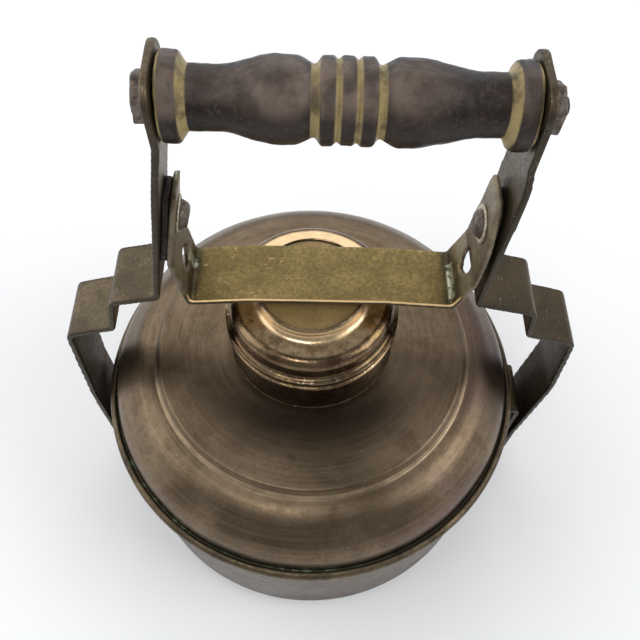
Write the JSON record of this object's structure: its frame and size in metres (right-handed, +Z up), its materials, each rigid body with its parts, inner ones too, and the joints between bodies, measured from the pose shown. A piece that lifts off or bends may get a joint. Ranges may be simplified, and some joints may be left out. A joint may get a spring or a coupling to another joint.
{
  "type": "spirit burner",
  "caption": "Round spun spirit burner with a domed reservoir, central screw cap over a wick, and a hinged strap bail with riveted crossbar and turned grip.",
  "frame": {"origin": "centre of the reservoir's flat base, on the surface it stands on", "axes": "+Z up through the neck and cap, X along the bail's pivot pins and very nearly along the grip (bolt head at -X, nut at +X), +Y away from the side shown in front"},
  "size_m": [0.1718, 0.15, 0.2096],
  "materials": {
    "patinated_copper": "brown patinated spun copper, satin with rubbed highlights",
    "seam_brass": "dull brass with green tarnish in the groove",
    "cap_bronze": "handled bright brown brass, glossy on the beads",
    "olive_brass": "unpolished olive brass sheet with fine scratches",
    "strap_brass": "olive brown tarnished brass strip, satin",
    "dark_steel": "browned steel fastener, matt",
    "pale_washer": "dull pale washer",
    "lacquered_wood": "dark crazed lacquer over turned wood, yellow residue in the grooves",
    "inner_brass": "plain brass, untarnished inside the cap",
    "gasket_leather": "oiled leather disc",
    "wick_cotton": "plaited cotton"
  },
  "bodies": {
    "reservoir": {"reservoir_bowl": "patinated_copper", "reservoir_dome": "patinated_copper", "rim_seam": "seam_brass", "filler_neck": "cap_bronze", "wick_plate": "inner_brass", "wick_tube": "inner_brass", "wick": "wick_cotton", "pivot_bracket_left": "strap_brass", "pivot_bracket_right": "strap_brass", "pivot_pin_left": "dark_steel", "pivot_pin_right": "dark_steel"},
    "bail": {"arm_left": "strap_brass", "arm_right": "strap_brass", "crossbar": "olive_brass", "ear_rivet_left": "dark_steel", "ear_rivet_right": "dark_steel", "ear_washer_left": "pale_washer", "ear_washer_right": "pale_washer", "ear_spacer_left": "dark_steel", "ear_spacer_right": "dark_steel", "handle_bolt": "dark_steel", "handle_nut": "dark_steel"},
    "grip": {"grip": "lacquered_wood"},
    "cap_seal": {"cap_gasket": "gasket_leather"},
    "cap": {"cap_shell": "cap_bronze", "cap_disc": "olive_brass", "cap_thread_ring": "inner_brass"}
  },
  "joints": [
    {"name": "bail_swing", "type": "hinge", "parent": "reservoir", "child": "bail", "pos_m": [0, 0, 0.017], "axis": [1, 0, 0], "range_deg": [-90, 90]},
    {"name": "grip_turn", "type": "hinge", "parent": "bail", "child": "grip", "pos_m": [0.00745, 0, 0.19875], "axis": [0.9998, 0, -0.0186], "continuous": true},
    {"name": "cap_lift", "type": "slide", "parent": "reservoir", "child": "cap_seal", "axis": [0, 0, 1], "range_m": [0, 0.00181]},
    {"name": "cap_turn", "type": "hinge", "parent": "cap_seal", "child": "cap", "pos_m": [0, 0, 0.112], "axis": [0, 0, 1], "range_deg": [0, 360]}
  ],
  "couplings": [
    {"joint": "cap_lift", "follows": "cap_turn", "m_per_rad": 0.00028648}
  ]
}
